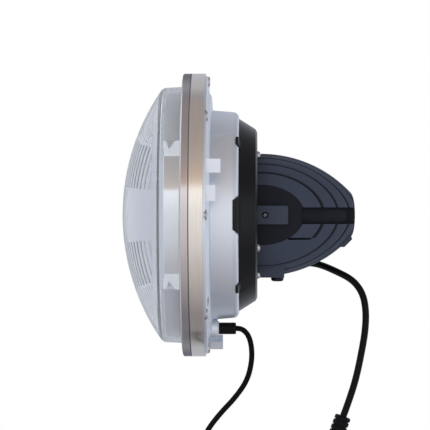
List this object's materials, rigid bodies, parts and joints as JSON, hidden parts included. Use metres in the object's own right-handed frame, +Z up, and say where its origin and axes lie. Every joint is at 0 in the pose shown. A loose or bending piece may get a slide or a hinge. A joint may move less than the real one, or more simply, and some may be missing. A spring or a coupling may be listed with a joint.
{
  "type": "motorcycle headlight",
  "caption": "Round motorcycle headlight with a clear domed lens, metal rim, silver housing, finned black back cover and hanging leads with plugs.",
  "frame": {"origin": "on the optical axis, at the rear face of the metal rim", "axes": "-X the way the lamp shines, +X towards the back cover, +Z up"},
  "size_m": [0.1561, 0.178, 0.3215],
  "materials": {
    "clear_lens": "clear polycarbonate, polished",
    "ring_metal": "satin turned aluminium",
    "silver_housing": "silver painted plastic, satin",
    "black_plastic": "black moulded plastic",
    "black_cover": "die-cast aluminium, black coated",
    "bare_aluminium": "machined",
    "mirror_plastic": "aluminised plastic, mirror bright",
    "screw_steel": "plated steel",
    "black_rubber": "matt rubber",
    "circuit_board": "glass epoxy with solder mask",
    "light_chip": "phosphor coated chip",
    "component_black": "moulded component",
    "capacitor_can": "sleeved can",
    "contact_brass": "plain brass",
    "nylon_white": "natural nylon"
  },
  "bodies": {
    "root": {"outer_lens": "clear_lens", "lens_seal": "black_rubber", "front_ring": "ring_metal", "rear_ring": "ring_metal", "ring_screws": "screw_steel", "reflector_housing": "silver_housing", "inner_bezel": "mirror_plastic", "main_reflector": "mirror_plastic", "reflector_screws": "screw_steel", "heat_core": "bare_aluminium", "core_screws": "screw_steel", "led_board_upper": "circuit_board", "led_board_lower": "circuit_board", "led_board_screws": "screw_steel", "led_emitters": "light_chip", "position_light_board": "circuit_board", "housing_seal": "black_rubber", "rear_collar": "black_plastic", "cover_gasket": "black_rubber", "heat_sink_cover": "black_cover", "cover_screws": "screw_steel", "driver_board": "circuit_board", "driver_choke": "component_black", "driver_capacitors": "capacitor_can", "driver_chips": "component_black", "driver_screws": "screw_steel", "vent_plug": "black_plastic", "vent_washer": "nylon_white", "lead_collar": "nylon_white", "lead_boot": "black_rubber", "front_lead": "black_rubber", "lead_plug": "black_plastic", "lead_plug_contacts": "contact_brass", "cable_gland": "black_rubber", "main_cable": "black_rubber", "plug_boot": "black_rubber", "plug_body": "black_plastic", "plug_contacts": "contact_brass"}
  },
  "joints": []
}
